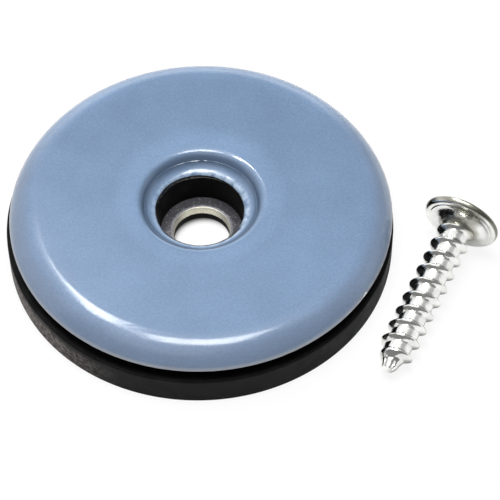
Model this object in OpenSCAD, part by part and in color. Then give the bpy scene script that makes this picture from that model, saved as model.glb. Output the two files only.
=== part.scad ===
// Screw-on furniture slider: a formed low-friction skin bonded to a rubber base that holds a
// steel insert. It lies with its glide face up, and its fixing screw lies beside it.
// Millimetres, +Z up. The origin is on the screw hole's axis, at the face that meets the furniture.

/* [Rubber base] */
// Diameter of the base's flange
base_d = 50; // [44:0.5:70]
// Height of the flange
flange_h = 4.25; // [3.5:0.05:7]
// Rounding of the flange's two edges
flange_edge = 0.15; // [0.1:0.05:1]
// Height of the open groove between the flange and the skin's rim
groove_h = 1.55; // [0.8:0.05:3]
// Rubber left under the steel insert
sole_t = 1; // [0.6:0.1:1.6]
// Room around the screw's head at the bottom of the well
head_gap = 0.35; // [0.2:0.05:0.8]
// How much the well widens from the insert up to the skin
well_draft = 0.3; // [0.1:0.05:0.8]

/* [Glide skin] */
// Thickness of the skin
skin_t = 1; // [0.6:0.05:1.3]
// How far the skin's rim stands back from the flange
rim_setback = 0.35; // [0:0.05:1]
// Rounding of the rim's lower edge
rim_edge = 0.25; // [0.1:0.05:0.4]
// Radius of the rounded outer edge, which meets the rim before it is upright
edge_round = 4.2; // [3:0.1:6]
// Height of the rounded outer edge
edge_h = 2.85; // [2:0.05:4]
// Width of the rounded shoulder and the slope below it
shoulder_w = 1.45; // [1.3:0.05:2.5]
// Radius of the rounded shoulder
shoulder_round = 1.4; // [0.5:0.05:1.6]
// Slope below the shoulder, from level
slope_angle = 60; // [40:1:65]
// Width of the hollow ledge that runs from the crease to the hole
ledge_w = 1.55; // [1.2:0.05:3]
// Slope of the ledge at the crease, from level
ledge_top_angle = 55; // [45:1:65]
// Slope of the ledge at the lip, from level
ledge_angle = 17; // [10:1:35]
// Radius of the lip that turns down into the hole
lip_round = 0.65; // [0.3:0.05:0.9]
// Straight part of the lip below its curve
lip_l = 0.2; // [0.1:0.05:0.5]
// Adhesive layer between the skin and the rubber
bond_gap = 0.05; // [0.02:0.01:0.2]

/* [Steel insert] */
// Diameter of the screw hole
hole_d = 7.3; // [5.5:0.1:9]
// Thickness of the insert
insert_t = 1.2; // [0.8:0.1:2]
// How far the insert reaches into the rubber beyond the well
insert_grip = 2.1; // [1:0.1:5]
// Rolled-over upper edge of the hole
insert_edge = 0.15; // [0.05:0.05:0.4]
// Room between the insert and its pocket
insert_gap = 0.05; // [0.02:0.01:0.2]

/* [Screw] */
// Diameter of the head's flange
head_d = 10; // [8.5:0.1:12]
// Thickness of the head's flange
head_flange_t = 0.8; // [0.5:0.05:1.2]
// Diameter of the dome on the flange
dome_d = 7.8; // [6.5:0.1:8.4]
// Height of the whole head
head_h = 2.5; // [2:0.1:3.2]
// Rounding of the flange's rim
head_edge = 0.15; // [0.05:0.05:0.25]
// Diameter of the cone under the head
neck_d = 7.4; // [6.2:0.1:8]
// Length of the cone under the head
neck_l = 1.5; // [0.8:0.1:1.8]
// Diameter of the plain neck, which is the thread's root
root_d = 3.4; // [2.6:0.1:3.6]
// Diameter over the thread
thread_d = 4.8; // [4:0.1:5.4]
// Distance from the head to the first full thread
thread_start = 2.3; // [2:0.1:4]
// Length below the head
screw_l = 22.9; // [16:0.1:40]
// Length of the tapered tip
tip_l = 2.6; // [1.5:0.1:4]
// Diameter of the blunt end
tip_d = 1.5; // [0.5:0.1:2.5]
// Width across the cross recess at its mouth
recess_d = 4.4; // [3.5:0.1:5]
// Width across the cross recess at its floor
recess_floor_d = 1.6; // [1:0.1:2.4]
// Depth of the cross recess
recess_depth = 1.9; // [1.2:0.1:2.4]
// Width of the recess's four slots
recess_slot = 1; // [0.6:0.05:1.3]

/* [Screw's place] */
// Distance from the flange's edge to the screw's axis
screw_off = 5.53; // [5.2:0.01:20]
// Distance from the screw's nearest point back to its head
screw_along = 13.41; // [0:0.01:20]
// Heading of the lying screw, turned from -Y towards -X
screw_turn = 28.6; // [0:0.1:90]

/* [Hidden] */
$fn = 96;
// Straight steps in each rounded stretch of a profile
ARC_STEPS = 10;
// Overlap that lets a cut pass cleanly through a surface
CUT = 0.5;

base_r = base_d / 2;
rim_r = base_r - rim_setback;
rim_z = flange_h + groove_h;
top_z = rim_z + edge_h;
edge_start = asin(1 - (edge_h - rim_edge) / edge_round);
edge_w = edge_round * cos(edge_start);
edge_centre_r = rim_r - edge_w;
cavity_r = rim_r - skin_t;
cavity_z = top_z - skin_t;

hole_r = hole_d / 2;
insert_top = sole_t + insert_t;
well_r = head_d / 2 + head_gap;
insert_r = well_r + insert_grip;
lip_r = well_r + well_draft;
crease_r = lip_r + ledge_w;
shoulder_r = crease_r + shoulder_w;

slope_run = shoulder_w - shoulder_round * sin(slope_angle);
slope_drop = shoulder_round * (1 - cos(slope_angle)) + slope_run * tan(slope_angle);
crease_z = top_z - slope_drop;
ledge_run = ledge_w - lip_round * (1 - sin(ledge_angle));
ledge_round = ledge_run / (sin(ledge_top_angle) - sin(ledge_angle));
ledge_drop = ledge_round * (cos(ledge_angle) - cos(ledge_top_angle));
lip_z = crease_z - ledge_drop - lip_round * cos(ledge_angle);
lip_end_z = lip_z - lip_l;

taper_start = screw_l - tip_l;
screw_tilt = atan2((head_d - thread_d) / 2, taper_start);
head_centre_z = head_d / 2 * cos(screw_tilt);

// Points along an ellipse's arc with half axes a and b, from one angle to another
function arc(centre, a, b, from, to) = [
    for (i = [0:ARC_STEPS])
        let (t = from + (to - from) * i / ARC_STEPS)
            centre + [a * cos(t), b * sin(t)]
];

// The underside of the skin from the rim to the lip, moved down and in by a gap
function cavity(gap) = concat(
    arc([edge_centre_r, rim_z], edge_w - skin_t - gap, edge_h - skin_t - gap, 0, 90),
    [[shoulder_r, cavity_z - gap], [lip_r, lip_end_z - gap]]
);

// A stretch of profile run the other way
function backwards(points) = [for (i = [len(points) - 1:-1:0]) points[i]];

// A stretch of profile without its first point, where the stretch before it ends
function onward(points) = [for (i = [1:len(points) - 1]) points[i]];

// The low-friction skin: a rounded edge, a level face and a funnel with a shoulder, a crease, a
// hollow ledge and a turned-down lip
module glide_skin() {
    rim = arc([rim_r - rim_edge, rim_z + rim_edge], rim_edge, rim_edge, -90, 0);
    edge = arc([edge_centre_r, top_z - edge_round], edge_round, edge_round, edge_start, 90);
    shoulder = arc([shoulder_r, top_z - shoulder_round], shoulder_round, shoulder_round, 90, 90 + slope_angle);
    ledge_centre = [crease_r - ledge_round * sin(ledge_top_angle), crease_z + ledge_round * cos(ledge_top_angle)];
    ledge = arc(ledge_centre, ledge_round, ledge_round, ledge_top_angle - 90, ledge_angle - 90);
    lip = arc([lip_r + lip_round, lip_z], lip_round, lip_round, 90 + ledge_angle, 180);
    color([0.55, 0.64, 0.76])
        rotate_extrude()
            polygon(concat(rim, onward(edge), shoulder, ledge, onward(lip), backwards(cavity(0))));
}

// The rubber base: a flange, a groove under the skin's rim, a core that fills the skin, and the
// well for the screw's head with a pocket that holds the insert
module rubber_base() {
    foot = arc([base_r - flange_edge, flange_edge], flange_edge, flange_edge, -90, 0);
    brow = arc([base_r - flange_edge, flange_h - flange_edge], flange_edge, flange_edge, 0, 90);
    pocket_r = insert_r + insert_gap;
    pocket_z = insert_top + insert_gap;
    well = [[well_r, pocket_z], [pocket_r, pocket_z], [pocket_r, sole_t], [hole_r, sole_t], [hole_r, 0]];
    color([0.16, 0.16, 0.17])
        rotate_extrude()
            polygon(concat(foot, brow, [[cavity_r - bond_gap, flange_h]], cavity(bond_gap), well));
}

// The steel insert that the screw's head pulls against
module steel_insert() {
    color([0.62, 0.61, 0.58])
        rotate_extrude()
            polygon([
                [hole_r, sole_t],
                [insert_r, sole_t],
                [insert_r, insert_top],
                [hole_r + insert_edge, insert_top],
                [hole_r, insert_top - insert_edge]
            ]);
}

// One slot of the cross recess, through the screw's axis
module recess_slot() {
    half_mouth = recess_d / 2;
    half_floor = recess_floor_d / 2;
    floor_z = head_h - recess_depth;
    flare = CUT * (half_mouth - half_floor) / recess_depth;
    rotate([90, 0, 0])
        linear_extrude(recess_slot, center = true)
            polygon([
                [-half_floor, floor_z],
                [half_floor, floor_z],
                [half_mouth + flare, head_h + CUT],
                [-half_mouth - flare, head_h + CUT]
            ]);
}

// The screw upright, head up, with the plane under its head at zero
module upright_screw() {
    lower_rim = arc([head_d / 2 - head_edge, head_edge], head_edge, head_edge, -90, 0);
    upper_rim = arc([head_d / 2 - head_edge, head_flange_t - head_edge], head_edge, head_edge, 0, 90);
    dome = arc([0, head_flange_t], dome_d / 2, head_h - head_flange_t, 0, 90);
    shank = [
        [0, -screw_l],
        [tip_d / 2, -screw_l],
        [thread_d / 2, -taper_start],
        [thread_d / 2, -thread_start],
        [root_d / 2, -neck_l],
        [neck_d / 2, 0]
    ];
    difference() {
        rotate_extrude()
            polygon(concat(shank, lower_rim, upper_rim, dome));
        for (turn = [0, 90])
            rotate(turn)
                recess_slot();
    }
}

// The screw lying on the rim of its head and on its thread, beside the base
module screw() {
    color([0.78, 0.78, 0.77])
        rotate(-screw_turn)
            translate([base_r + screw_off, screw_along, head_centre_z])
                rotate([screw_tilt - 90, 0, 0])
                    upright_screw();
}

glide_skin();
rubber_base();
steel_insert();
screw();
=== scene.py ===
import math

import bmesh
import bpy
from mathutils import Matrix, Vector, noise


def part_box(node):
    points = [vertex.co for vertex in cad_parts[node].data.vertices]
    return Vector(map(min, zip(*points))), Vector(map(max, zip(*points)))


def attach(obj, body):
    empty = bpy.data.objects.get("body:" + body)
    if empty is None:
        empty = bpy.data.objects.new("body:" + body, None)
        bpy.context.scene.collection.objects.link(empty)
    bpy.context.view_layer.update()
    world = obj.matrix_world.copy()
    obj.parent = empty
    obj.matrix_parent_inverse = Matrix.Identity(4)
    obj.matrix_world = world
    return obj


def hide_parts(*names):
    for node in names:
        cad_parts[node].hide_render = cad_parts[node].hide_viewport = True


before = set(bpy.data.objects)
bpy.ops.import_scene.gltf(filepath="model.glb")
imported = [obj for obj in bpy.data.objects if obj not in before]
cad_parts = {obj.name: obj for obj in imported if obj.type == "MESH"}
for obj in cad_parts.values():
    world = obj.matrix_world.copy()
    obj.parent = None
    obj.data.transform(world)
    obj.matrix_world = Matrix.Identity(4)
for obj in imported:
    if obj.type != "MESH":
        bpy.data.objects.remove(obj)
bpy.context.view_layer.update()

MM = 0.001
RING_STEPS = 432
RING_SHARP_DEG = 30
SCREW_STEPS = 96
SCREW_SHARP_DEG = 32
NOISE_MIDDLE = (0.3, 0.7)

# Sizes in millimetres, read off the parts in model.glb
skin_low, skin_high = [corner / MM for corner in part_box("glide_skin")]
base_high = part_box("rubber_base")[1] / MM
insert_low, insert_high = [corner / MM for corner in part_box("steel_insert")]
BASE_R = base_high.x
RIM_R = skin_high.x
RIM_Z = skin_low.z
TOP_Z = skin_high.z
INSERT_R = insert_high.x
SOLE_T = insert_low.z
INSERT_TOP = insert_high.z

# Sizes of the base in millimetres; its flange lies a little off the hole's axis
FLANGE_H = 4.25
FLANGE_EDGE = 0.15
FLANGE_SHIFT_X = -0.16
FLANGE_SHIFT_Y = -0.04
WELL_R = 5.35
WELL_DRAFT = 0.3
HOLE_R = 3.65
INSERT_EDGE = 0.15
INSERT_GAP = 0.05

# Sizes of the skin in millimetres
SKIN_T = 1.0
BOND_GAP = 0.05
RIM_EDGE = 0.25
EDGE_ROUND = 4.2
SHOULDER_W = 1.45
SHOULDER_ROUND = 1.4
SLOPE_DEG = 60
LEDGE_W = 1.55
LEDGE_TOP_DEG = 55
LEDGE_DEG = 17
LIP_ROUND = 0.65
LIP_L = 0.2
CREASE_W = 0.14
CREASE_H = 0.05

# Sizes of the screw's head and neck in millimetres
HEAD_R = 5.0
HEAD_FLANGE_T = 0.8
HEAD_EDGE = 0.15
HEAD_H = 2.5
DOME_R = 3.9
HEAD_ROLL_W = 0.5
HEAD_ROLL_H = 0.62
SEAT_R = 4.2
SEAT_H = 0.12
NECK_R = 3.75
NECK_L = 1.7
NECK_HOLLOW = 1.45
RECESS_R = 2.2
RECESS_FLOOR_R = 0.8
RECESS_DEPTH = 1.9
RECESS_SLOT = 1.0

# Sizes of the screw's thread and tip in millimetres, with depths measured down from the head
ROOT_R = 1.7
THREAD_R = 2.4
PITCH = 2.17
THREAD_FOOT_W = 1.3
THREAD_FULLNESS = 1.5
THREAD_START = 0.85
FIRST_CREST = 0.93
SCREW_L = 22.9
TIP_L = 2.6
TIP_R = 0.75
ROOT_TAPER_LAG = 0.3

# Pinch marks on the tip: place and width in degrees, then sizes in millimetres below the taper's start
PINCHES = [(242, 7), (306, 6)]
PINCH_DEPTH = 0.16
PINCH_FROM = 1.2
PINCH_FULL = 1.8

# The screw's place beside the base in millimetres, and its heading
SCREW_OFF = 5.53
SCREW_ALONG = 13.41
SCREW_TURN_DEG = 28.6


def sin(degrees):
    """Sine of an angle in degrees."""
    return math.sin(math.radians(degrees))


def cos(degrees):
    """Cosine of an angle in degrees."""
    return math.cos(math.radians(degrees))


# Heights and radii that follow from the sizes above
EDGE_H = TOP_Z - RIM_Z
EDGE_START_DEG = math.degrees(math.asin(1 - (EDGE_H - RIM_EDGE) / EDGE_ROUND))
EDGE_W = EDGE_ROUND * cos(EDGE_START_DEG)
EDGE_CENTRE_R = RIM_R - EDGE_W
LIP_R = WELL_R + WELL_DRAFT
CREASE_R = LIP_R + LEDGE_W
SHOULDER_R = CREASE_R + SHOULDER_W
SLOPE_RUN = SHOULDER_W - SHOULDER_ROUND * sin(SLOPE_DEG)
SLOPE_DROP = SHOULDER_ROUND * (1 - cos(SLOPE_DEG)) + SLOPE_RUN * math.tan(math.radians(SLOPE_DEG))
CREASE_Z = TOP_Z - SLOPE_DROP
LEDGE_RUN = LEDGE_W - LIP_ROUND * (1 - sin(LEDGE_DEG))
LEDGE_ROUND = LEDGE_RUN / (sin(LEDGE_TOP_DEG) - sin(LEDGE_DEG))
LEDGE_DROP = LEDGE_ROUND * (cos(LEDGE_DEG) - cos(LEDGE_TOP_DEG))
LIP_Z = CREASE_Z - LEDGE_DROP - LIP_ROUND * cos(LEDGE_DEG)
LIP_END_Z = LIP_Z - LIP_L
TAPER_START = SCREW_L - TIP_L
SCREW_TILT = math.atan2(HEAD_R - THREAD_R, TAPER_START)


def arc(centre, a, b, start, end, steps):
    """Points along an ellipse's arc with half axes a and b, from one angle to another in degrees."""
    points = []
    for i in range(steps + 1):
        angle = start + (end - start) * i / steps
        points.append((centre[0] + a * cos(angle), centre[1] + b * sin(angle)))
    return points


def between(start, end, steps):
    """Evenly spaced points between two points, without the two ends."""
    run, rise = end[0] - start[0], end[1] - start[1]
    return [(start[0] + run * i / steps, start[1] + rise * i / steps) for i in range(1, steps)]


def ease(low, high, value):
    """Rises smoothly from 0 at low to 1 at high."""
    x = min(max((value - low) / (high - low), 0), 1)
    return x * x * (3 - 2 * x)


def uneven(t, waves):
    """Smooth noise that joins up after a full turn; each wave is a size, a fineness and a seed."""
    total = 0
    for size, fineness, seed in waves:
        total += size * noise.noise(Vector((math.cos(t) * fineness, math.sin(t) * fineness, seed)))
    return total


def near(t, place_deg, width_deg):
    """A bump of height 1 at one place round the axis."""
    away = (math.degrees(t) - place_deg + 180) % 360 - 180
    return math.exp(-((away / width_deg) ** 2))


def add_piece(name, mesh, sharp_deg):
    """Links a mesh as an object, shaded smooth but for its sharp edges."""
    mesh.polygons.foreach_set("use_smooth", [True] * len(mesh.polygons))
    mesh.set_sharp_from_angle(angle=math.radians(sharp_deg))
    piece = bpy.data.objects.new(name, mesh)
    bpy.context.scene.collection.objects.link(piece)
    return piece


def grid_object(name, rows, closed, sharp_deg):
    """A mesh over rows of points in millimetres; closed joins the last row to the first."""
    weld = 0.0001 * MM
    width = len(rows[0])
    points = [(x * MM, y * MM, z * MM) for row in rows for x, y, z in row]
    faces = []
    for r in range(len(rows) if closed else len(rows) - 1):
        here, there = r * width, (r + 1) % len(rows) * width
        faces += [(here + c, here + c + 1, there + c + 1, there + c) for c in range(width - 1)]
    mesh = bpy.data.meshes.new(name)
    mesh.from_pydata(points, [], faces)
    form = bmesh.new()
    form.from_mesh(mesh)
    bmesh.ops.remove_doubles(form, verts=form.verts, dist=weld)
    bmesh.ops.recalc_face_normals(form, faces=form.faces)
    form.to_mesh(mesh)
    form.free()
    return add_piece(name, mesh, sharp_deg)


def turned(name, outline, wobble):
    """A ring turned from a closed outline of (radius, height); wobble(i, r, z, t) moves each point."""
    rows = []
    for i, (r, z) in enumerate(outline):
        row = []
        for step in range(RING_STEPS + 1):
            t = 2 * math.pi * (step % RING_STEPS) / RING_STEPS
            moved_r, moved_z = wobble(i, r, z, t)
            row.append((moved_r * math.cos(t), moved_r * math.sin(t), moved_z))
        rows.append(row)
    return grid_object(name, rows, True, RING_SHARP_DEG)


def cavity(gap):
    """The skin's underside from the rim to the lip, moved down and in by a gap."""
    edge_w, edge_h = EDGE_W - SKIN_T - gap, EDGE_H - SKIN_T - gap
    edge = arc((EDGE_CENTRE_R, RIM_Z), edge_w, edge_h, 0, 90, steps=12)
    return edge + [(SHOULDER_R, TOP_Z - SKIN_T - gap), (LIP_R, LIP_END_Z - gap)]


def crease_bead(slope_end):
    """The end of the slope, and the raised bead along the crease below it."""
    tilt = (SLOPE_DEG + LEDGE_TOP_DEG) / 2
    half = CREASE_W / 2
    upper = (CREASE_R + half * cos(SLOPE_DEG), CREASE_Z + half * sin(SLOPE_DEG))
    crest = (CREASE_R - CREASE_H * sin(tilt), CREASE_Z + CREASE_H * cos(tilt))
    lower = (CREASE_R - half * cos(LEDGE_TOP_DEG), CREASE_Z - half * sin(LEDGE_TOP_DEG))
    return between(slope_end, upper, steps=5) + [upper, crest, lower]


def skin_front():
    """The skin's outline from under the rim, round the edge and over the face to the funnel's slope."""
    rim_centre = (RIM_R - RIM_EDGE, RIM_Z + RIM_EDGE)
    edge_centre = (EDGE_CENTRE_R, TOP_Z - EDGE_ROUND)
    shoulder_centre = (SHOULDER_R, TOP_Z - SHOULDER_ROUND)
    rim = arc(rim_centre, RIM_EDGE, RIM_EDGE, -90, 0, steps=6)
    edge = arc(edge_centre, EDGE_ROUND, EDGE_ROUND, EDGE_START_DEG, 90, steps=30)[1:]
    face = between(edge[-1], (SHOULDER_R, TOP_Z), steps=12)
    shoulder = arc(shoulder_centre, SHOULDER_ROUND, SHOULDER_ROUND, 90, 90 + SLOPE_DEG, steps=16)
    return rim + edge + face + shoulder


def build_skin():
    """The formed skin: rounded rim and edge, level face, and a funnel with a crease and a ragged lip."""
    bead_waves = [(0.03, 6, 5.2)]
    lip_r_waves = [(0.06, 3, 1.7), (0.05, 21, 4.1)]
    lip_z_waves = [(0.05, 11, 8.8), (0.06, 27, 3.3)]
    lip_shift = 0.12
    # A burr on the bead and nicks in the lip: place and width in degrees, and height in millimetres
    burr_deg, burr_width_deg, burr_h = 87.6, 1.5, 0.14
    nicks = [(105, 1.8, 0.16), (74.5, 1.6, 0.14), (38, 1.4, 0.07), (151, 1.7, 0.06)]
    nick_pull = 0.4
    front = skin_front()
    crease = crease_bead(front[-1])
    ledge_r = CREASE_R - LEDGE_ROUND * sin(LEDGE_TOP_DEG)
    ledge_z = CREASE_Z + LEDGE_ROUND * cos(LEDGE_TOP_DEG)
    ledge_turn = (LEDGE_TOP_DEG - 90, LEDGE_DEG - 90)
    ledge = arc((ledge_r, ledge_z), LEDGE_ROUND, LEDGE_ROUND, *ledge_turn, steps=12)[1:]
    lip = arc((LIP_R + LIP_ROUND, LIP_Z), LIP_ROUND, LIP_ROUND, 90 + LEDGE_DEG, 180, steps=12)[1:]
    under = list(reversed(cavity(0)))
    crest = len(front) + len(crease) - 2
    lip_start = len(front) + len(crease) + len(ledge)
    lip_end = lip_start + len(lip)

    def wobble(i, r, z, t):
        if i == crest:
            z += uneven(t, bead_waves) + burr_h * near(t, burr_deg, burr_width_deg)
        if lip_start <= i < lip_end:
            depth = (i - lip_start + 1) / len(lip)
            r += depth * (uneven(t, lip_r_waves) - lip_shift * math.cos(t))
            z += depth * uneven(t, lip_z_waves)
            for place, width, dip in nicks:
                z -= depth * dip * near(t, place, width)
                r -= depth * nick_pull * dip * near(t, place, width)
        return r, z

    return turned("skin", front + crease + ledge + lip + under, wobble)


def build_rubber():
    """The rubber base: crisp flange, groove, core, and the well with the insert's pocket."""
    side_wave, side_fineness, side_seed = 0.03, 7, 2.3
    brow_waves = [(0.05, 13, 7.9)]
    edge_r = BASE_R - FLANGE_EDGE
    foot = arc((edge_r, FLANGE_EDGE), FLANGE_EDGE, FLANGE_EDGE, -90, 0, steps=6)
    brow = arc((edge_r, FLANGE_H - FLANGE_EDGE), FLANGE_EDGE, FLANGE_EDGE, 0, 90, steps=6)
    side = between(foot[-1], brow[0], steps=12)
    groove = [(RIM_R - SKIN_T - BOND_GAP, FLANGE_H)]
    core = cavity(BOND_GAP)
    pocket_r, pocket_z = INSERT_R + INSERT_GAP, INSERT_TOP + INSERT_GAP
    well = between(core[-1], (WELL_R, pocket_z), steps=8)
    pocket = [(WELL_R, pocket_z), (pocket_r, pocket_z), (pocket_r, SOLE_T), (HOLE_R, SOLE_T), (HOLE_R, 0)]
    outline = foot + side + brow + groove + core + well + pocket
    first, last = len(foot), len(foot) + len(side) + len(brow)

    def wobble(i, r, z, t):
        if i < last:
            r += FLANGE_SHIFT_X * math.cos(t) + FLANGE_SHIFT_Y * math.sin(t)
        if first <= i < last:
            level = (i - first) / (last - first)
            r += uneven(t, [(side_wave, side_fineness, side_seed + level)])
            z += level * uneven(t, brow_waves)
        return r, z

    return turned("rubber", outline, wobble)


def build_insert():
    """The stamped steel insert, with a rolled upper edge and a slightly torn wall in its hole."""
    tear, tear_fineness = 0.03, 14
    fine_tear, fine_tear_fineness = 0.015, 40
    rolled_centre = (HOLE_R + INSERT_EDGE, INSERT_TOP - INSERT_EDGE)
    rolled = arc(rolled_centre, INSERT_EDGE, INSERT_EDGE, 180, 90, steps=6)
    wall = between((HOLE_R, SOLE_T), rolled[0], steps=7)
    top = between(rolled[-1], (INSERT_R, INSERT_TOP), steps=6)
    outline = [(HOLE_R, SOLE_T)] + wall + rolled + top + [(INSERT_R, INSERT_TOP), (INSERT_R, SOLE_T)]

    def wobble(i, r, z, t):
        if r < HOLE_R + INSERT_EDGE:
            r += uneven(t, [(tear, tear_fineness, z), (fine_tear, fine_tear_fineness, 2 * z)])
        return r, z

    return turned("insert", outline, wobble)


def thread_stops():
    """Distances from one crest at which rows of points run along the thread."""
    foot = THREAD_FOOT_W / 2
    flank = [foot * share for share in (0.12, 0.25, 0.4, 0.55, 0.7, 0.85, 1.0)]
    root = [foot + (PITCH / 2 - foot) * share for share in (0.15, 0.6)]
    half = flank + root
    return [-d for d in reversed(half)] + [0.0] + half + [PITCH / 2]


def thread_rise(away):
    """Height of the rounded thread, from 0 to 1, at a distance from its crest."""
    return max(0, 1 - (2 * abs(away) / THREAD_FOOT_W) ** THREAD_FULLNESS)


def neck_radius(depth):
    """Radius of the hollow neck that runs from the seat under the head down to the shank."""
    rise = min(max((NECK_L - depth) / (NECK_L - SEAT_H), 0), 1)
    return NECK_R - (NECK_R - ROOT_R) * (1 - rise ** NECK_HOLLOW) ** (1 / NECK_HOLLOW)


def shank_radius(depth, away, t):
    """Radius of the shank at a depth, with its neck, thread, taper and the tip's pinch marks."""
    taper = TIP_R + (THREAD_R - TIP_R) * (SCREW_L - depth) / TIP_L
    root_taper_start = TAPER_START + ROOT_TAPER_LAG
    root = ROOT_R - (ROOT_R - TIP_R) * max(0, depth - root_taper_start) / (SCREW_L - root_taper_start)
    crest = max(root, min(THREAD_R, taper))
    neck = neck_radius(depth) if depth < NECK_L else 0
    r = max(neck, root + (crest - root) * thread_rise(away))
    pinch = sum(near(t, place, width) for place, width in PINCHES)
    return r - PINCH_DEPTH * pinch * ease(TAPER_START + PINCH_FROM, TAPER_START + PINCH_FULL, depth)


def screw_lay():
    """The move that lays the upright screw down beside the base, on its head's rim and its thread."""
    head_place = Vector((BASE_R + SCREW_OFF, SCREW_ALONG, HEAD_R * math.cos(SCREW_TILT))) * MM
    turn = Matrix.Rotation(-math.radians(SCREW_TURN_DEG), 4, "Z")
    return turn @ Matrix.Translation(head_place) @ Matrix.Rotation(SCREW_TILT - math.pi / 2, 4, "X")


def head_outline():
    """The head's outline from the top of its dome down the neck to the start of the thread."""
    neck_steps = 10
    rim_centre = (HEAD_R - HEAD_EDGE, HEAD_FLANGE_T - HEAD_EDGE)
    roll_centre = (HEAD_R - HEAD_ROLL_W, HEAD_ROLL_H)
    dome = arc((0, HEAD_FLANGE_T), DOME_R, HEAD_H - HEAD_FLANGE_T, 90, 0, steps=16)
    upper_rim = arc(rim_centre, HEAD_EDGE, HEAD_EDGE, 90, 0, steps=5)
    lower_rim = arc(roll_centre, HEAD_ROLL_W, HEAD_ROLL_H, 0, -90, steps=10)
    seat = [(SEAT_R, 0), (SEAT_R - SEAT_H, -SEAT_H)]
    neck_depths = [SEAT_H + (THREAD_START - SEAT_H) * (i / neck_steps) ** 2 for i in range(neck_steps)]
    neck = [(neck_radius(depth), -depth) for depth in neck_depths]
    return dome + upper_rim + lower_rim + seat + neck


def build_screw():
    """The screw, turned head up about the vertical axis, then laid beside the base."""
    angles = [2 * math.pi * (step % SCREW_STEPS) / SCREW_STEPS for step in range(SCREW_STEPS + 1)]
    rows = [[(r * math.cos(t), r * math.sin(t), z) for t in angles] for r, z in head_outline()]
    stops = thread_stops()
    turns = math.ceil(SCREW_L / PITCH) + 2
    for turn in range(-1, turns):
        for away in stops:
            row = []
            for step, t in enumerate(angles):
                depth = FIRST_CREST + turn * PITCH + away - PITCH * step / SCREW_STEPS
                depth = min(max(depth, THREAD_START), SCREW_L)
                r = shank_radius(depth, away, t)
                row.append((r * math.cos(t), r * math.sin(t), -depth))
            rows.append(row)
    rows.append([(0, 0, -SCREW_L)] * len(angles))
    piece = grid_object("fixing_screw", rows, False, SCREW_SHARP_DEG)
    cut_recess(piece)
    piece.data.transform(screw_lay())
    return piece


def recess_slot(turn):
    """One tapered slot of the cross recess, as an object to cut with."""
    overshoot = 0.5
    half = RECESS_SLOT / 2
    floor_z, top_z = HEAD_H - RECESS_DEPTH, HEAD_H + overshoot
    mouth_r = RECESS_R + overshoot * (RECESS_R - RECESS_FLOOR_R) / RECESS_DEPTH
    form = bmesh.new()
    rings = []
    for reach, z in ((RECESS_FLOOR_R, floor_z), (mouth_r, top_z)):
        corners = [(-reach, -half), (reach, -half), (reach, half), (-reach, half)]
        rings.append([form.verts.new((x * MM, y * MM, z * MM)) for x, y in corners])
    floor, mouth_shade = rings
    form.faces.new(floor)
    form.faces.new(mouth_shade)
    for i in range(len(floor)):
        n = (i + 1) % len(floor)
        form.faces.new((floor[i], floor[n], mouth_shade[n], mouth_shade[i]))
    bmesh.ops.recalc_face_normals(form, faces=form.faces)
    mesh = bpy.data.meshes.new("recess_slot")
    form.to_mesh(mesh)
    form.free()
    mesh.transform(Matrix.Rotation(turn, 4, "Z"))
    cutter = bpy.data.objects.new("recess_slot", mesh)
    bpy.context.scene.collection.objects.link(cutter)
    return cutter


def cut_recess(piece):
    """Cuts the cross recess into the head with two slots."""
    cutters = [recess_slot(turn) for turn in (0, math.pi / 2)]
    for cutter in cutters:
        cut = piece.modifiers.new("recess", "BOOLEAN")
        cut.operation = "DIFFERENCE"
        cut.solver = "EXACT"
        cut.object = cutter
    graph = bpy.context.evaluated_depsgraph_get()
    mesh = bpy.data.meshes.new_from_object(piece.evaluated_get(graph))
    piece.modifiers.clear()
    piece.data = mesh
    mesh.set_sharp_from_angle(angle=math.radians(SCREW_SHARP_DEG))
    for cutter in cutters:
        bpy.data.objects.remove(cutter)


def screen(red, green, blue):
    """A colour given in screen values from 0 to 255, as the linear colour that a shader takes."""
    shares = [value / 255 for value in (red, green, blue)]
    linear = [v / 12.92 if v <= 0.04045 else ((v + 0.055) / 1.055) ** 2.4 for v in shares]
    return (*linear, 1.0)


def tone(colour, factor):
    """A colour made lighter or darker."""
    return tuple(min(c * factor, 1.0) for c in colour[:3]) + (1.0,)


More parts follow.
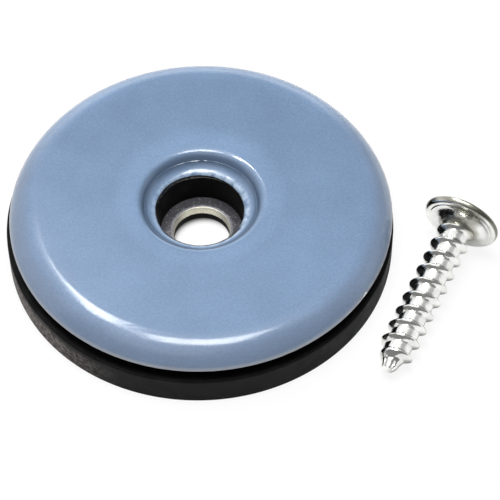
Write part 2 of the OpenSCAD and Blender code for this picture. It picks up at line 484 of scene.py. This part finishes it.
class Nodes:
    """Short calls that add nodes to one material or world, each giving the new node's result."""

    def __init__(self, tree):
        self.tree = tree

    def add(self, kind, **settings):
        """A new node of one kind, with its settings."""
        node = self.tree.nodes.new("ShaderNode" + kind)
        for name, value in settings.items():
            setattr(node, name, value)
        return node

    def put(self, socket, value):
        """Links a source to a socket, or sets the socket to a plain value."""
        if isinstance(value, bpy.types.NodeSocket):
            self.tree.links.new(value, socket)
        else:
            socket.default_value = value

    def part(self, source, letter):
        """The X, Y or Z part of a vector."""
        node = self.add("SeparateXYZ")
        self.put(node.inputs["Vector"], source)
        return node.outputs[letter]

    def vector(self, operation, first, second=(0, 0, 0)):
        """One operation on vectors, which gives a vector or a length."""
        node = self.add("VectorMath", operation=operation)
        self.put(node.inputs[0], first)
        self.put(node.inputs[1], second)
        return node.outputs["Value" if operation in ("LENGTH", "DOT_PRODUCT") else "Vector"]

    def fold(self, operation, first, *others):
        """One operation taken over all the values in turn."""
        result = first
        for other in others:
            node = self.add("Math", operation=operation)
            self.put(node.inputs[0], result)
            self.put(node.inputs[1], other)
            result = node.outputs["Value"]
        return result

    def total(self, *values):
        """All the values added up."""
        return self.fold("ADD", *values)

    def product(self, *values):
        """All the values multiplied, so that a place has to lie in every mask."""
        return self.fold("MULTIPLY", *values)

    def largest(self, *values):
        """The largest of the values, so that a place may lie in any mask."""
        return self.fold("MAXIMUM", *values)

    def span(self, source, low, high, to_low=0.0, to_high=1.0):
        """Goes smoothly from one level to another as its source goes from low to high."""
        node = self.add("MapRange", interpolation_type="SMOOTHSTEP")
        limits = {"From Min": low, "From Max": high, "To Min": to_low, "To Max": to_high}
        for name, value in limits.items():
            node.inputs[name].default_value = value
        self.put(node.inputs["Value"], source)
        return node.outputs["Result"]

    def blend(self, factor, first, second):
        """One number or the other, by a factor from 0 to 1."""
        node = self.add("Mix", data_type="FLOAT")
        self.put(node.inputs[0], factor)
        self.put(node.inputs[2], first)
        self.put(node.inputs[3], second)
        return node.outputs[0]

    def mix(self, factor, first, second):
        """One colour or the other, by a factor from 0 to 1."""
        node = self.add("Mix", data_type="RGBA")
        self.put(node.inputs[0], factor)
        self.put(node.inputs[6], first)
        self.put(node.inputs[7], second)
        return node.outputs[2]

    def ray(self, *kinds):
        """1 for the named kinds of ray, and 0 for others."""
        path = self.add("LightPath")
        return self.largest(*[path.outputs[kind] for kind in kinds])


class Finish(Nodes):
    """A node material whose places are the object's own coordinates in millimetres."""

    def __init__(self, name):
        self.material = bpy.data.materials.new(name)
        self.material.use_nodes = True
        super().__init__(self.material.node_tree)
        self.main = self.tree.nodes["Principled BSDF"]
        metres = self.add("TexCoord").outputs["Object"]
        self.place = self.vector("MULTIPLY", metres, (1 / MM, 1 / MM, 1 / MM))

    def set(self, **values):
        """Sets plain values on the shader's sockets."""
        for name, value in values.items():
            self.main.inputs[name.replace("_", " ")].default_value = value

    def drive(self, name, source):
        """Links a source to one of the shader's sockets."""
        self.put(self.main.inputs[name], source)

    def noise(self, per_mm, detail, stretch=(1, 1, 1)):
        """Noise from 0 to 1 with a fineness per millimetre."""
        mapping = self.add("Mapping")
        mapping.inputs["Scale"].default_value = [per_mm * s for s in stretch]
        self.put(mapping.inputs["Vector"], self.place)
        texture = self.add("TexNoise")
        texture.inputs["Scale"].default_value = 1.0
        texture.inputs["Detail"].default_value = detail
        self.put(texture.inputs["Vector"], mapping.outputs["Vector"])
        return texture.outputs["Fac"]

    def axis(self, letter):
        """A place's X, Y or Z."""
        return self.part(self.place, letter)

    def away(self, start):
        """How far a place is from a starting point."""
        return self.vector("LENGTH", self.vector("SUBTRACT", self.place, start))

    def along(self, start, direction):
        """How far a place is from a starting point along a direction."""
        return self.vector("DOT_PRODUCT", self.vector("SUBTRACT", self.place, start), direction)

    def radius(self, start=(0, 0, 0), direction=(0, 0, 1)):
        """How far a place is from an axis."""
        across = self.vector("CROSS_PRODUCT", self.vector("SUBTRACT", self.place, start), direction)
        return self.vector("LENGTH", across)

    def shades(self, source, colour, darkest, lightest):
        """A colour that goes from a darker tone to a lighter one over the middle of a noise."""
        node = self.add("ValToRGB")
        first, last = node.color_ramp.elements
        first.position, last.position = NOISE_MIDDLE
        first.color = tone(colour, darkest)
        last.color = tone(colour, lightest)
        self.put(node.inputs["Fac"], source)
        return node.outputs["Color"]

    def bump(self, source, *sockets, strength, depth_mm):
        """Relief on the named sockets of the shader."""
        node = self.add("Bump")
        node.inputs["Strength"].default_value = strength
        node.inputs["Distance"].default_value = depth_mm * MM
        self.put(node.inputs["Height"], source)
        for name in sockets:
            self.drive(name, node.outputs["Normal"])


def skin_coating(finish, mottle, radius):
    """Mottled blue-grey, with painted light round the funnel, at the front and back, painted shade on the
    slope, and a pale lip.
    """
    colour = screen(120, 145, 177)
    slope_shade_colour = tone(colour, 0.64)
    lip_wear_and_highlight_colour = screen(186, 206, 228)
    # Limits in millimetres, each from where a band begins to where it is full
    ring_inside = (7.5, 8.1)
    ring_outside = (12.8, 9.5)
    forward_y = (16, -12)
    back_y = (8, 18)
    back_r = (19.8, 22.2)
    slope_inside = (6.5, 7.2)
    slope_outside = (8.3, 7.4)
    lip_r = (6.6, 6.0)
    lip_x = (-6, 4)
    patch_limits = (0.3, 0.6)
    forward_share = 0.6
    lip_left_light_share = 0.5
    x, y = finish.axis("X"), finish.axis("Y")
    # Painted light: a paler halo round the funnel, a paler front and a paler back edge.
    ring = finish.product(finish.span(radius, *ring_inside), finish.span(radius, *ring_outside))
    forward = finish.span(y, *forward_y, 0.0, forward_share)
    back = finish.product(finish.span(y, *back_y), finish.span(radius, *back_r))
    plain = finish.shades(mottle, colour, darkest=0.83, lightest=1.17)
    painted_light = finish.shades(mottle, colour, darkest=1.03, lightest=1.37)
    coated = finish.mix(finish.largest(ring, forward, back), plain, painted_light)
    # Painted shade on the funnel's slope, between the shoulder and the crease.
    slope = finish.product(finish.span(radius, *slope_inside), finish.span(radius, *slope_outside))
    coated = finish.mix(slope, coated, slope_shade_colour)
    # The pale lip: wear in patches, and a painted highlight that is weaker on the left.
    patches = finish.span(finish.noise(per_mm=1.3, detail=3), *patch_limits)
    wear_and_painted_light = finish.product(patches, finish.span(x, *lip_x, lip_left_light_share, 1.0))
    return finish.mix(finish.product(finish.span(radius, *lip_r), wear_and_painted_light), coated, lip_wear_and_highlight_colour)


def skin_edges(finish, coated, radius):
    """The coating with a painted reflection on the side, painted shade at the lip's cut edge, and a pale
    grey line along the rim's lower edge.
    """
    side_reflection_colour = screen(124, 130, 146)
    mouth_shade_colour = screen(24, 26, 32)
    rim_line_colour = screen(184, 184, 184)
    # Limits in millimetres; the painted shade at the lip's cut edge reaches higher on the left and at the
    # front
    side_r = (21.5, 23.5)
    side_y = (12, 4)
    cut_z = (6.48, 6.36)
    cut_lean = 0.024
    front_cut_z = (6.76, 6.69)
    front_cut_y = (-2, -4)
    mouth_r = (6.4, 6.1)
    rim_line_z = (6.6, 6.1)
    rim_line_r = (12, 15)
    side_share = 0.35
    rim_line_share = 0.6
    x, y, z = [finish.axis(letter) for letter in "XYZ"]
    # Painted reflection: the side turns greyer towards the front.
    side = finish.product(finish.span(radius, *side_r, 0.0, side_share), finish.span(y, *side_y))
    coated = finish.mix(side, coated, side_reflection_colour)
    # Painted shade on the lip's cut edge and inner wall.
    cut = finish.span(finish.total(z, finish.product(x, cut_lean)), *cut_z)
    front_cut = finish.product(finish.span(z, *front_cut_z), finish.span(y, *front_cut_y))
    mouth_shade = finish.product(finish.largest(cut, front_cut), finish.span(radius, *mouth_r))
    coated = finish.mix(mouth_shade, coated, mouth_shade_colour)
    # A pale grey line along the rim's lower edge.
    rim_line = finish.product(finish.span(z, *rim_line_z, 0.0, rim_line_share), finish.span(radius, *rim_line_r))
    return finish.mix(rim_line, coated, rim_line_colour)


def skin_finish():
    """Blue-grey low-friction coating: satin underneath, with a glossier, faintly grainy surface."""
    cloud_share, grain_share = 0.4, 0.6
    roughness = (0.34, 0.42)
    gloss_limits, gloss = (0.36, 0.62), (0.75, 1.0)
    relief_r, relief_levels = (19.5, 22.5), (0.7, 1.0)
    finish = Finish("skin_blue_grey")
    radius = finish.radius()
    cloud = finish.noise(per_mm=0.14, detail=4)
    grain = finish.noise(per_mm=3.6, detail=4)
    mottle = finish.total(finish.product(cloud, cloud_share), finish.product(grain, grain_share))
    coated = skin_coating(finish, mottle, radius)
    finish.drive("Base Color", skin_edges(finish, coated, radius))
    finish.drive("Roughness", finish.span(grain, *NOISE_MIDDLE, *roughness))
    pebbles = finish.noise(per_mm=5.2, detail=3)
    relief = finish.product(pebbles, finish.span(radius, *relief_r, *relief_levels))
    finish.bump(relief, "Normal", "Coat Normal", strength=0.6, depth_mm=0.021)
    finish.drive("Coat Weight", finish.span(finish.noise(per_mm=2.6, detail=5), *gloss_limits, *gloss))
    finish.set(Coat_Roughness=0.1, Specular_IOR_Level=0.15)
    return finish.material


def rubber_finish():
    """Black rubber, painted jet black for shade in the groove and well; the greyer flange carries mottled
    blooming and painted sheen.
    """
    colour = screen(27, 27, 29)
    groove_shade_colour = tone(colour, 0.06)
    bloom_and_sheen_colour = screen(150, 143, 139)
    # Limits in millimetres, each from where a band begins to where it is full
    side_r = (23.5, 24.2)
    side_z = (4.0, 3.8)
    bloom_and_sheen_x = (-9.5, -22.2)
    bloom_and_sheen_z = (4.0, 2.6)
    blotch_limits = (0.25, 0.75)
    roughness = (0.55, 0.72)
    finish = Finish("rubber_black")
    cloud = finish.noise(per_mm=0.4, detail=5)
    grain = finish.noise(per_mm=3.8, detail=5)
    blotch = finish.noise(per_mm=1.7, detail=6, stretch=(1, 1, 1.3))
    x, z = finish.axis("X"), finish.axis("Z")
    side = finish.product(finish.span(finish.radius(), *side_r), finish.span(z, *side_z))
    # Blooming on the flange's side, with a painted sheen that keeps it to the left.
    left = finish.product(finish.span(x, *bloom_and_sheen_x), finish.span(z, *bloom_and_sheen_z))
    bloom_and_sheen = finish.product(left, finish.span(blotch, *blotch_limits), side)
    grey = finish.shades(cloud, colour, darkest=0.75, lightest=1.3)
    # Painted shade: all but the flange's side is jet black.
    shaded_grey = finish.mix(side, groove_shade_colour, grey)
    finish.drive("Base Color", finish.mix(bloom_and_sheen, shaded_grey, bloom_and_sheen_colour))
    finish.drive("Roughness", finish.span(cloud, *NOISE_MIDDLE, *roughness))
    finish.bump(grain, "Normal", strength=0.4, depth_mm=0.06)
    finish.set(Specular_IOR_Level=0.1)
    return finish.material


def insert_finish():
    """Dull grainy zinc, darker on the right by painted shade; bright sheared steel in its hole, with
    painted shade away from its far side.
    """
    face_colour = screen(122, 122, 127)
    hole_colour = screen(236, 232, 214)
    shaded_colour = tone(hole_colour, 0.25)
    # Limits in millimetres, each from where a band begins to where it is full
    right_x = (0.5, 4.5)
    shaded_y = (3.4, 2.0)
    face_r = (3.68, 3.85)
    rolled_r = (4.2, 3.8)
    shaded_share = 0.7
    roughness = (0.18, 0.28)
    rolled_roughness = 0.25
    finish = Finish("insert_dull_zinc")
    radius = finish.radius()
    grain = finish.noise(per_mm=5.2, detail=4)
    dull = finish.shades(grain, face_colour, darkest=0.8, lightest=1.2)
    right_shade = finish.shades(grain, face_colour, darkest=0.4, lightest=0.7)
    # Painted shade on the right of the face.
    face = finish.mix(finish.span(finish.axis("X"), *right_x), dull, right_shade)
    bright = finish.shades(grain, hole_colour, darkest=0.8, lightest=1.2)
    hole = finish.mix(finish.span(finish.axis("Y"), *shaded_y, 0.0, shaded_share), bright, shaded_colour)
    finish.drive("Base Color", finish.mix(finish.span(radius, *face_r), hole, face))
    grainy = finish.span(grain, *NOISE_MIDDLE, *roughness)
    finish.drive("Roughness", finish.total(grainy, finish.span(radius, *rolled_r, 0.0, rolled_roughness)))
    finish.bump(grain, "Normal", strength=0.25, depth_mm=0.04)
    finish.set(Metallic=0.7)
    return finish.material


def zinc_finish():
    """Bright zinc with soft clouding and fine pits, dull on head and neck with painted shade, and painted
    shade on the rim's top and the head's right.
    """
    colour = screen(246, 246, 243)
    dull_and_shade_colour = screen(176, 175, 164)
    glint_shade_colour = screen(168, 168, 160)
    right_head_shade_colour = screen(126, 126, 116)
    # Limits in millimetres along the screw from its seat, from its axis, and across the scene
    head_above = (0.1, 0.3)
    neck_above = (-1.7, -1.2)
    neck_r = (3.1, 2.4)
    glint_shade_place = (34.3, -3.4, 8.3)
    glint_shade_reach = (2.7, 1.5)
    right_shade_x = (32.2, 33.4)
    roughness = (0.08, 0.16)
    worn_roughness = 0.16
    finish = Finish("screw_bright_zinc")
    cloud = finish.noise(per_mm=0.65, detail=4)
    pits = finish.noise(per_mm=1.7, detail=4)
    bright = finish.shades(cloud, colour, darkest=0.85, lightest=1.05)
    dull = finish.shades(cloud, dull_and_shade_colour, darkest=0.75, lightest=1.25)
    lay = screw_lay()
    head_place = lay.translation / MM
    head_up = lay.to_3x3() @ Vector((0, 0, 1))
    above = finish.along(head_place, head_up)
    aside = finish.radius(head_place, head_up)
    head = finish.span(above, *head_above)
    neck = finish.product(finish.span(above, *neck_above), finish.span(aside, *neck_r))
    # Head and neck: rougher zinc, with a darker colour that paints their darker reflections.
    wear_and_painted_light = finish.largest(head, neck)
    plated = finish.mix(wear_and_painted_light, bright, dull)
    # Painted shade on the top of the head's rim, to dim its glint.
    glint_shade = finish.span(finish.away(glint_shade_place), *glint_shade_reach)
    plated = finish.mix(glint_shade, plated, glint_shade_colour)
    # Painted shade on the head's right side.
    right_head_shade = finish.product(head, finish.span(finish.axis("X"), *right_shade_x))
    finish.drive("Base Color", finish.mix(right_head_shade, plated, right_head_shade_colour))
    clouded = finish.span(cloud, *NOISE_MIDDLE, *roughness)
    finish.drive("Roughness", finish.total(clouded, finish.product(wear_and_painted_light, worn_roughness)))
    finish.bump(pits, "Normal", strength=0.5, depth_mm=0.08)
    finish.set(Metallic=1.0)
    return finish.material


def dress(piece, material, body, node):
    """Gives a piece its finish and the body it rides on, and hides the node it stands for."""
    piece.data.materials.append(material)
    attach(piece, body)
    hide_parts(node)


def floor_finish():
    """White to the camera, with painted shade at the hole's far side, and a band of painted shade beside
    the shank in reflections.
    """
    pale = (0.94, 0.94, 0.94, 1)
    dark = (0.05, 0.05, 0.05, 1)
    glow_level = 1.02
    seen_share = 0.86
    mirrored_share = 0.25
    band_level = 0.95
    # Limits in millimetres: the hole's painted shade round its lit spot, and the band of painted shade
    # beside the shank
    hole_reach = (10, 6)
    lit_centre = (0.3, -0.9, 0)
    lit_reach = (3.2, 4.7)
    band_inside = (30.0, 31.2)
    band_outside = (32.2, 34.8)
    band_y = (-4, -8)
    band_direction = (cos(SCREW_TURN_DEG), -sin(SCREW_TURN_DEG), 0)
    finish = Finish("floor_white")
    in_hole = finish.span(finish.away((0, 0, 0)), *hole_reach)
    shade = finish.product(in_hole, finish.span(finish.away(lit_centre), *lit_reach))
    outward = finish.along((0, 0, 0), band_direction)
    fade = finish.span(outward, *band_outside, band_level, 0.0)
    # Painted shade: the floor is greyer beside the shank where the screw reflects it.
    band = finish.product(finish.span(outward, *band_inside), fade, finish.span(finish.axis("Y"), *band_y))
    mirrored = finish.ray("Is Glossy Ray", "Is Transmission Ray")
    finish.drive("Base Color", finish.mix(finish.blend(mirrored, shade, band), pale, dark))
    finish.set(Roughness=0.9, Specular_IOR_Level=0.0)
    share = finish.blend(mirrored, 0.0, mirrored_share)
    share = finish.blend(finish.ray("Is Camera Ray"), share, finish.blend(shade, seen_share, 0.0))
    glow = finish.add("Emission")
    glow.inputs["Strength"].default_value = glow_level
    surface = finish.add("MixShader")
    finish.put(surface.inputs["Fac"], share)
    finish.put(surface.inputs[1], finish.main.outputs["BSDF"])
    finish.put(surface.inputs[2], glow.outputs["Emission"])
    finish.put(finish.tree.nodes["Material Output"].inputs["Surface"], surface.outputs["Shader"])
    return finish.material


def build_floor():
    """A plain pale floor that keeps soft shadows, a hair below the base so that they share no plane."""
    half = 2.0
    drop = 0.02 * MM
    mesh = bpy.data.meshes.new("floor")
    corners = [(-half, -half), (half, -half), (half, half), (-half, half)]
    mesh.from_pydata([(x, y, -drop) for x, y in corners], [], [(0, 1, 2, 3)])
    floor = bpy.data.objects.new("floor", mesh)
    bpy.context.scene.collection.objects.link(floor)
    floor.data.materials.append(floor_finish())


def build_world():
    """A plain studio: even soft light on the object, and in reflections a white back and a dark front."""
    ambient = 0.12
    seen_level = 1.0
    top_level, front_level, gap_level = 1.1, 0.22, 0.45
    side_horizon, back_horizon = 1.0, 1.9
    middle_level, left_level, right_level = 0.15, 1.0, 0.5
    # Limits of each part of the surroundings, as parts of a direction of length 1
    back_y = (0.75, 0.95)
    front_y = (-0.05, -0.3)
    left_x = (-0.12, -0.3)
    right_x = (0.25, 0.45)
    middle_z = (0.2, 0.6)
    top_z = (0.78, 0.92)
    gap_x = (0.3, 0.55)
    gap_y = (0.2, 0.4)
    world = bpy.data.worlds.new("studio")
    world.use_nodes = True
    bpy.context.scene.world = world
    nodes = Nodes(world.node_tree)
    direction = nodes.add("TexCoord").outputs["Generated"]
    x, y, z = [nodes.part(direction, letter) for letter in "XYZ"]
    horizon = nodes.span(y, *back_y, side_horizon, back_horizon)
    middle = nodes.span(x, *right_x, middle_level, right_level)
    middle = nodes.blend(nodes.span(x, *left_x), middle, left_level)
    wall = nodes.blend(nodes.span(z, *middle_z), horizon, middle)
    wall = nodes.blend(nodes.span(z, *top_z), wall, top_level)
    gap = nodes.product(nodes.span(x, *gap_x), nodes.span(y, *gap_y))
    wall = nodes.blend(gap, wall, gap_level)
    mirrored = nodes.blend(nodes.span(y, *front_y), wall, front_level)
    strength = nodes.blend(nodes.ray("Is Glossy Ray"), ambient, mirrored)
    strength = nodes.blend(nodes.ray("Is Camera Ray", "Is Transmission Ray"), strength, seen_level)
    background = world.node_tree.nodes["Background"]
    background.inputs["Color"].default_value = (1, 1, 1, 1)
    nodes.put(background.inputs["Strength"], strength)


def soft_box(name, direction, size_deg, level, turn_deg, seen_in):
    """A rectangular lamp facing the origin; its size is the angle it fills, and level its brightness."""
    reach = 0.6
    lamp = bpy.data.lights.new(name, "AREA")
    lamp.shape = "RECTANGLE"
    lamp.size = 2 * reach * math.tan(math.radians(size_deg[0] / 2))
    lamp.size_y = 2 * reach * math.tan(math.radians(size_deg[1] / 2))
    lamp.energy = level * math.pi * lamp.size * lamp.size_y
    light = bpy.data.objects.new(name, lamp)
    towards = Vector(direction).normalized()
    light.location = towards * reach
    turn = Matrix.Rotation(math.radians(turn_deg), 3, "Z")
    light.rotation_euler = (towards.to_track_quat("Z", "Y").to_matrix() @ turn).to_euler()
    light.visible_camera = False
    light.visible_diffuse = seen_in != "highlights"
    light.visible_glossy = seen_in != "shading"
    bpy.context.scene.collection.objects.link(light)


def build_lamps():
    """The studio's lamps: name, direction, size in degrees, level, turn in degrees and where it shows."""
    lamps = [
        ("lamp_overhead", (-0.005, -0.035, 1.0), (24, 18), 16, -12, "both"),
        ("lamp_left", (-0.247, 0.323, 0.914), (24, 5), 33, 26, "highlights"),
        ("lamp_far_left", (-0.25, 0.51, 0.823), (18, 6), 2.6, -5, "highlights"),
        ("lamp_bridge", (-0.222, 0.11, 0.968), (4, 3), 5, 0, "highlights"),
        ("lamp_front_left", (-0.26, -0.44, 0.86), (42, 34), 0.9, 0, "highlights"),
        ("lamp_key", (-0.25, 0.3, 0.92), (40, 40), 2.2, 0, "shading"),
    ]
    for lamp in lamps:
        soft_box(*lamp)


def build_camera():
    """The photograph's camera: its place, its aim, and its focal length in pixels of a 500 pixel frame."""
    focal_px, frame_px = 2200, 500
    sensor_mm = 36.0
    place = Vector((0, -173.5, 230.26)) * MM
    elevation = math.radians(53.295)
    yaw = math.radians(2.071)
    roll = math.radians(-0.485)
    level = math.cos(elevation)
    ahead = Vector((level * math.sin(yaw), level * math.cos(yaw), -math.sin(elevation)))
    right = Vector((math.cos(yaw), -math.sin(yaw), 0))
    up = right.cross(ahead)
    image_right = math.cos(roll) * right + math.sin(roll) * up
    image_up = math.cos(roll) * up - math.sin(roll) * right
    camera = bpy.data.cameras.new("camera")
    camera.sensor_width = sensor_mm
    camera.lens = focal_px / frame_px * sensor_mm
    camera.clip_start = 10 * MM
    holder = bpy.data.objects.new("camera", camera)
    aim = Matrix((image_right, image_up, -ahead)).transposed().to_4x4()
    holder.matrix_world = Matrix.Translation(place) @ aim
    bpy.context.scene.collection.objects.link(holder)
    bpy.context.scene.camera = holder


dress(build_skin(), skin_finish(), "slider", "glide_skin")
dress(build_rubber(), rubber_finish(), "slider", "rubber_base")
dress(build_insert(), insert_finish(), "slider", "steel_insert")
dress(build_screw(), zinc_finish(), "loose_screw", "screw")
build_floor()
build_world()
build_lamps()
build_camera()
bpy.context.scene.view_settings.view_transform = "Standard"
